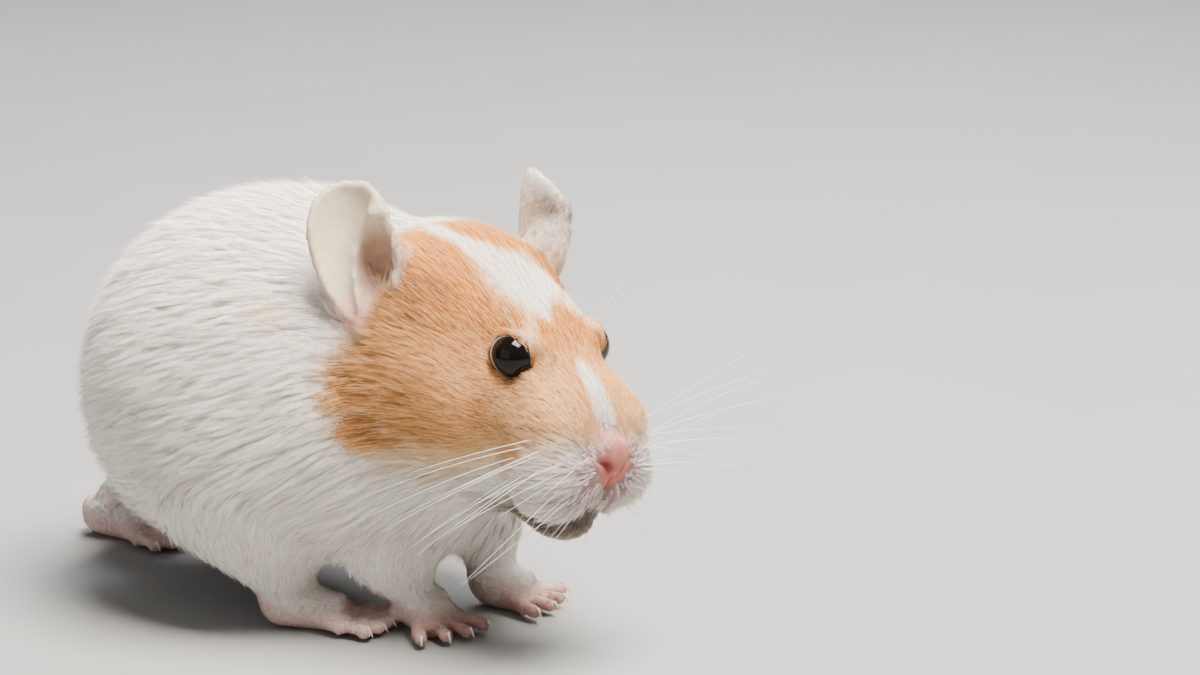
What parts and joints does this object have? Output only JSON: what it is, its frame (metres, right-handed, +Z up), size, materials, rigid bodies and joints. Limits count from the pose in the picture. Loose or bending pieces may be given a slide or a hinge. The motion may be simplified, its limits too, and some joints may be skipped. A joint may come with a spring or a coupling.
{
  "type": "syrian hamster",
  "caption": "Still, life-size Syrian hamster in a walking stance, head turned a little to its right; white coat with ginger patches on the head, whole and standing on four feet.",
  "frame": {"origin": "on the floor under the middle of the whole animal", "axes": "-Y is the way the body faces, -X is its right side, +Z is up"},
  "size_m": [0.0476, 0.0874, 0.0552],
  "materials": {
    "white_coat": "soft white fur",
    "ginger_coat": "soft ginger and white fur",
    "ear_skin": "thin bare skin",
    "paw_skin": "pink skin with short white hairs",
    "nose_skin": "moist pink skin",
    "eye": "glossy black"
  },
  "bodies": {
    "root": {"trunk": "white_coat", "neck": "white_coat", "head": "ginger_coat", "lower_jaw": "white_coat", "tail": "white_coat", "nose": "nose_skin", "eye_right": "eye", "eye_left": "eye", "ear_right": "ear_skin", "ear_left": "ear_skin", "fore_leg_right": "white_coat", "fore_foot_right": "paw_skin", "hind_leg_right": "white_coat", "hind_foot_right": "paw_skin", "fore_leg_left": "white_coat", "fore_foot_left": "paw_skin", "hind_leg_left": "white_coat", "hind_foot_left": "paw_skin"}
  },
  "joints": []
}
